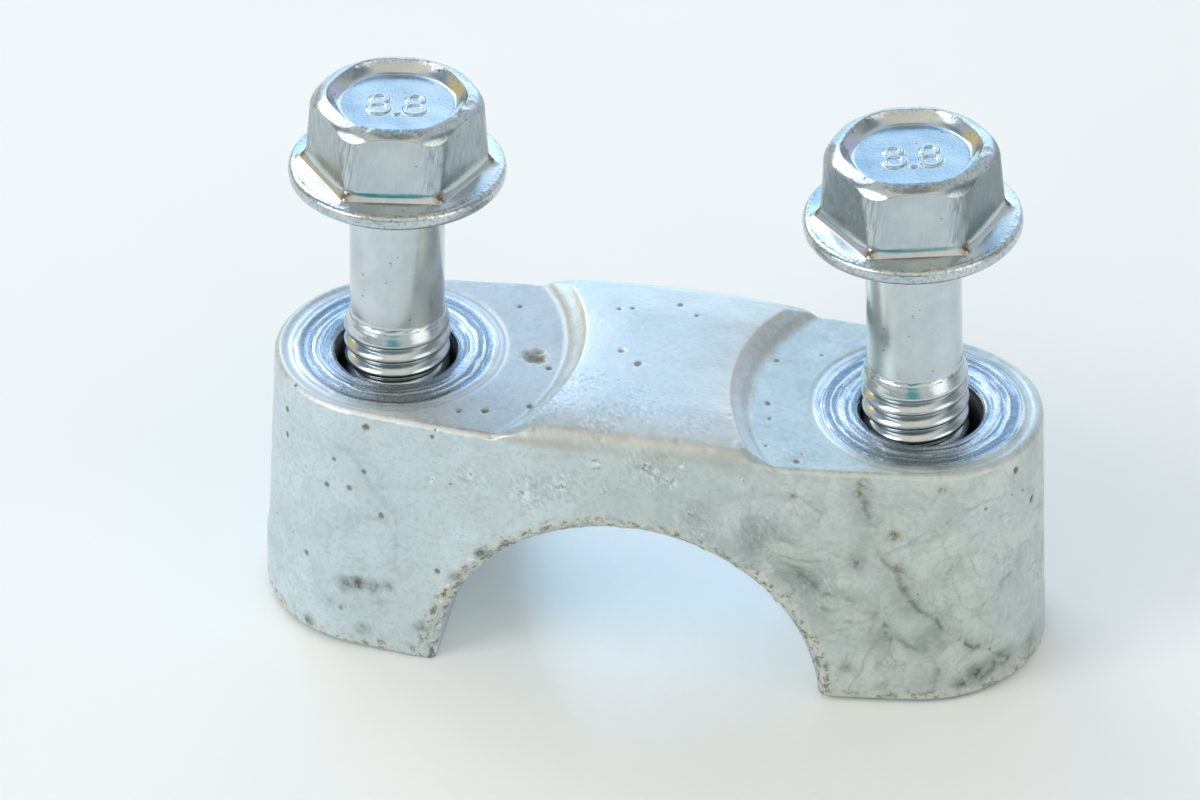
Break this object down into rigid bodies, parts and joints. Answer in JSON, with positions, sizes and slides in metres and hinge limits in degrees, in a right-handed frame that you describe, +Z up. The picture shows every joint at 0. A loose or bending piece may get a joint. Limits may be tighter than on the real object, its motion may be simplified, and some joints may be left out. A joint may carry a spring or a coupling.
{
  "type": "handlebar riser clamp cap",
  "caption": "Cast aluminium top clamp of a handlebar riser: an arched bar saddle on legs of unequal length, with loose zinc-plated flange bolts standing in its holes.",
  "frame": {"origin": "middle of the footprint, level with the long leg's sole", "axes": "+X along the cap towards the short leg, +Y along the bar towards the back, +Z up"},
  "size_m": [0.0585, 0.021, 0.0433],
  "materials": {
    "cast_aluminium": "as cast, with machined pads",
    "zinc_plate": "bright zinc plated steel"
  },
  "bodies": {
    "root": {"clamp_cap": "cast_aluminium", "left_flange_bolt": "zinc_plate", "right_flange_bolt": "zinc_plate"}
  },
  "joints": []
}
